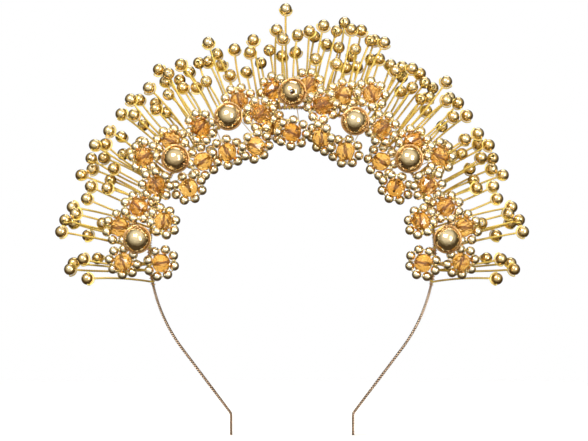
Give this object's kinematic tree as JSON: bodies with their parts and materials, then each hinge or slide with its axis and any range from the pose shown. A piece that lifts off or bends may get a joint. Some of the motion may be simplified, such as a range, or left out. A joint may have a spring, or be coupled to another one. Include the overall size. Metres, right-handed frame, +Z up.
{
  "type": "crown",
  "caption": "Beaded halo crown on a springy metal headband: clusters of bead-and-crystal flowers round big beads, with a fringe of beads on twisted wire stems.",
  "frame": {"origin": "centre of the head opening: the centre of the arch, midway through the strip's width", "axes": "+Z up through the top of the crown, +X to the wearer's left as seen from the front, -Y the front"},
  "size_m": [0.1994, 0.0362, 0.1817],
  "materials": {
    "band": "satin copper-gold strip, darker at the tips",
    "gold_bead": "metallised, mirror bright",
    "petal_bead": "metallised pale champagne gold, bright",
    "crystal": "faceted amber glass",
    "gold_wire": "bright twisted wire",
    "copper_wire": "bright copper-gold wire"
  },
  "bodies": {
    "crown": {"headband_arch": "band", "collar_1": "copper_wire", "collar_2": "copper_wire", "collar_3": "copper_wire", "collar_4": "copper_wire", "collar_5": "copper_wire", "collar_6": "copper_wire", "collar_7": "copper_wire", "petal_beads_1": "petal_bead", "petal_beads_2": "petal_bead", "petal_beads_3": "petal_bead", "petal_beads_4": "petal_bead", "petal_beads_5": "petal_bead", "petal_beads_6": "petal_bead", "petal_beads_7": "petal_bead", "crystals_1": "crystal", "crystals_2": "crystal", "crystals_3": "crystal", "crystals_4": "crystal", "crystals_5": "crystal", "crystals_6": "crystal", "crystals_7": "crystal", "flower_wires_1": "gold_wire", "flower_wires_2": "gold_wire", "flower_wires_3": "gold_wire", "flower_wires_4": "gold_wire", "flower_wires_5": "gold_wire", "flower_wires_6": "gold_wire", "flower_wires_7": "gold_wire", "spray_wires_1": "gold_wire", "spray_wires_2": "gold_wire", "spray_wires_3": "gold_wire", "spray_wires_4": "gold_wire", "spray_wires_5": "gold_wire", "spray_wires_6": "gold_wire", "spray_wires_7": "gold_wire", "spray_beads_1": "gold_bead", "spray_beads_2": "gold_bead", "spray_beads_3": "gold_bead", "spray_beads_4": "gold_bead", "spray_beads_5": "gold_bead", "spray_beads_6": "gold_bead", "spray_beads_7": "gold_bead", "binding_wire_1": "copper_wire", "binding_wire_2": "copper_wire", "binding_wire_3": "copper_wire", "binding_wire_4": "copper_wire", "binding_wire_5": "copper_wire", "binding_wire_6": "copper_wire", "binding_wire_7": "copper_wire"},
    "left_leg": {"left_leg": "band"},
    "right_leg": {"right_leg": "band"},
    "big_bead_1": {"big_bead_1": "gold_bead"},
    "big_bead_2": {"big_bead_2": "gold_bead"},
    "big_bead_3": {"big_bead_3": "gold_bead"},
    "big_bead_4": {"big_bead_4": "gold_bead"},
    "big_bead_5": {"big_bead_5": "gold_bead"},
    "big_bead_6": {"big_bead_6": "gold_bead"},
    "big_bead_7": {"big_bead_7": "gold_bead"}
  },
  "joints": [
    {"name": "left_leg_flex", "type": "hinge", "parent": "crown", "child": "left_leg", "pos_m": [-0.05809, 0, -0.01611], "axis": [0, 1, 0], "range_deg": [-8, 30], "stiffness_Nm_per_rad": 0.56},
    {"name": "right_leg_flex", "type": "hinge", "parent": "crown", "child": "right_leg", "pos_m": [0.05809, 0, -0.01611], "axis": [0, -1, 0], "range_deg": [-8, 30], "stiffness_Nm_per_rad": 0.56},
    {"name": "bead_1_spin", "type": "hinge", "parent": "crown", "child": "big_bead_1", "pos_m": [-0.06484, -0.017, 0.00453], "axis": [0.0698, 0, 0.9976], "continuous": true},
    {"name": "bead_2_spin", "type": "hinge", "parent": "crown", "child": "big_bead_2", "pos_m": [-0.04886, -0.017, 0.03817], "axis": [0.7094, -0.5736, -0.4096], "continuous": true},
    {"name": "bead_3_spin", "type": "hinge", "parent": "crown", "child": "big_bead_3", "pos_m": [-0.02669, -0.017, 0.05596], "axis": [0.9063, 0, 0.4226], "continuous": true},
    {"name": "bead_4_spin", "type": "hinge", "parent": "crown", "child": "big_bead_4", "pos_m": [0, -0.017, 0.066], "axis": [0, -1, 0], "continuous": true},
    {"name": "bead_5_spin", "type": "hinge", "parent": "crown", "child": "big_bead_5", "pos_m": [0.0263, -0.017, 0.05393], "axis": [-0.9063, 0, 0.4226], "continuous": true},
    {"name": "bead_6_spin", "type": "hinge", "parent": "crown", "child": "big_bead_6", "pos_m": [0.04886, -0.017, 0.03817], "axis": [-0.7094, -0.5736, -0.4096], "continuous": true},
    {"name": "bead_7_spin", "type": "hinge", "parent": "crown", "child": "big_bead_7", "pos_m": [0.06484, -0.017, 0.00453], "axis": [-0.0698, 0, 0.9976], "continuous": true}
  ]
}
